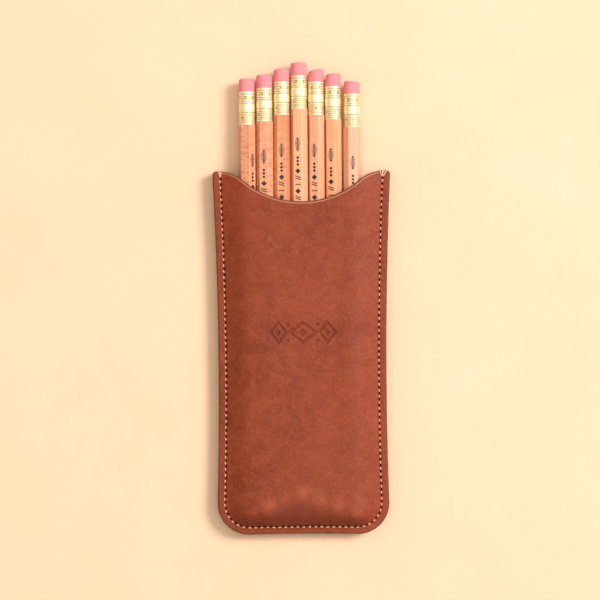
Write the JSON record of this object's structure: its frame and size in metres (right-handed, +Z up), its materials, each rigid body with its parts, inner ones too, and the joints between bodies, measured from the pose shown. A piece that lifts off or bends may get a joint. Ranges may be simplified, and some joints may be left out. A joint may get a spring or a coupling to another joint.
{
  "type": "leather pencil sleeve",
  "caption": "Flat leather pencil and pen sleeve, saddle-stitched on three sides, with a scooped mouth and hexagonal wooden pencils with ferrules and erasers in its pocket.",
  "frame": {"origin": "on the resting plane, under the middle of the sleeve, at the flat outer face of the back panel", "axes": "+X across the sleeve, +Y from the toe to the mouth and the erasers, +Z up out of the front panel"},
  "size_m": [0.0768, 0.2041, 0.0123],
  "materials": {
    "sleeve_leather": "vegetable-tanned russet leather, satin, fine grain, darker burnished cut edges",
    "waxed_thread": "twisted cream waxed thread",
    "pencil_wood": null,
    "graphite": "graphite and clay core, dull grey-black",
    "ferrule_metal": "polished gold-coloured thin metal, ribbed and punched",
    "eraser_rubber": "matt pink eraser rubber"
  },
  "bodies": {
    "sleeve": {"front_panel": "sleeve_leather", "back_panel": "sleeve_leather", "stitching_thread": "waxed_thread"},
    "pencil_1": {"pencil_1_upper_slat": "pencil_wood", "pencil_1_lower_slat": "pencil_wood", "pencil_1_lead": "graphite", "pencil_1_ferrule": "ferrule_metal", "pencil_1_eraser": "eraser_rubber"},
    "pencil_2": {"pencil_2_upper_slat": "pencil_wood", "pencil_2_lower_slat": "pencil_wood", "pencil_2_lead": "graphite", "pencil_2_ferrule": "ferrule_metal", "pencil_2_eraser": "eraser_rubber"},
    "pencil_3": {"pencil_3_upper_slat": "pencil_wood", "pencil_3_lower_slat": "pencil_wood", "pencil_3_lead": "graphite", "pencil_3_ferrule": "ferrule_metal", "pencil_3_eraser": "eraser_rubber"},
    "pencil_4": {"pencil_4_upper_slat": "pencil_wood", "pencil_4_lower_slat": "pencil_wood", "pencil_4_lead": "graphite", "pencil_4_ferrule": "ferrule_metal", "pencil_4_eraser": "eraser_rubber"},
    "pencil_5": {"pencil_5_upper_slat": "pencil_wood", "pencil_5_lower_slat": "pencil_wood", "pencil_5_lead": "graphite", "pencil_5_ferrule": "ferrule_metal", "pencil_5_eraser": "eraser_rubber"},
    "pencil_6": {"pencil_6_upper_slat": "pencil_wood", "pencil_6_lower_slat": "pencil_wood", "pencil_6_lead": "graphite", "pencil_6_ferrule": "ferrule_metal", "pencil_6_eraser": "eraser_rubber"},
    "pencil_7": {"pencil_7_upper_slat": "pencil_wood", "pencil_7_lower_slat": "pencil_wood", "pencil_7_lead": "graphite", "pencil_7_ferrule": "ferrule_metal", "pencil_7_eraser": "eraser_rubber"}
  },
  "joints": [
    {"name": "pencil_1_slide", "type": "slide", "parent": "sleeve", "child": "pencil_1", "axis": [0, 1, 0], "range_m": [-0.0005, 0.151]},
    {"name": "pencil_2_slide", "type": "slide", "parent": "sleeve", "child": "pencil_2", "axis": [0, 1, 0], "range_m": [-0.0032, 0.149]},
    {"name": "pencil_3_slide", "type": "slide", "parent": "sleeve", "child": "pencil_3", "axis": [0, 1, 0], "range_m": [-0.0059, 0.146]},
    {"name": "pencil_4_slide", "type": "slide", "parent": "sleeve", "child": "pencil_4", "axis": [0, 1, 0], "range_m": [-0.0085, 0.144]},
    {"name": "pencil_5_slide", "type": "slide", "parent": "sleeve", "child": "pencil_5", "axis": [0, 1, 0], "range_m": [-0.0058, 0.146]},
    {"name": "pencil_6_slide", "type": "slide", "parent": "sleeve", "child": "pencil_6", "axis": [0, 1, 0], "range_m": [-0.0038, 0.148]},
    {"name": "pencil_7_slide", "type": "slide", "parent": "sleeve", "child": "pencil_7", "axis": [0, 1, 0], "range_m": [-0.0004, 0.152]}
  ]
}
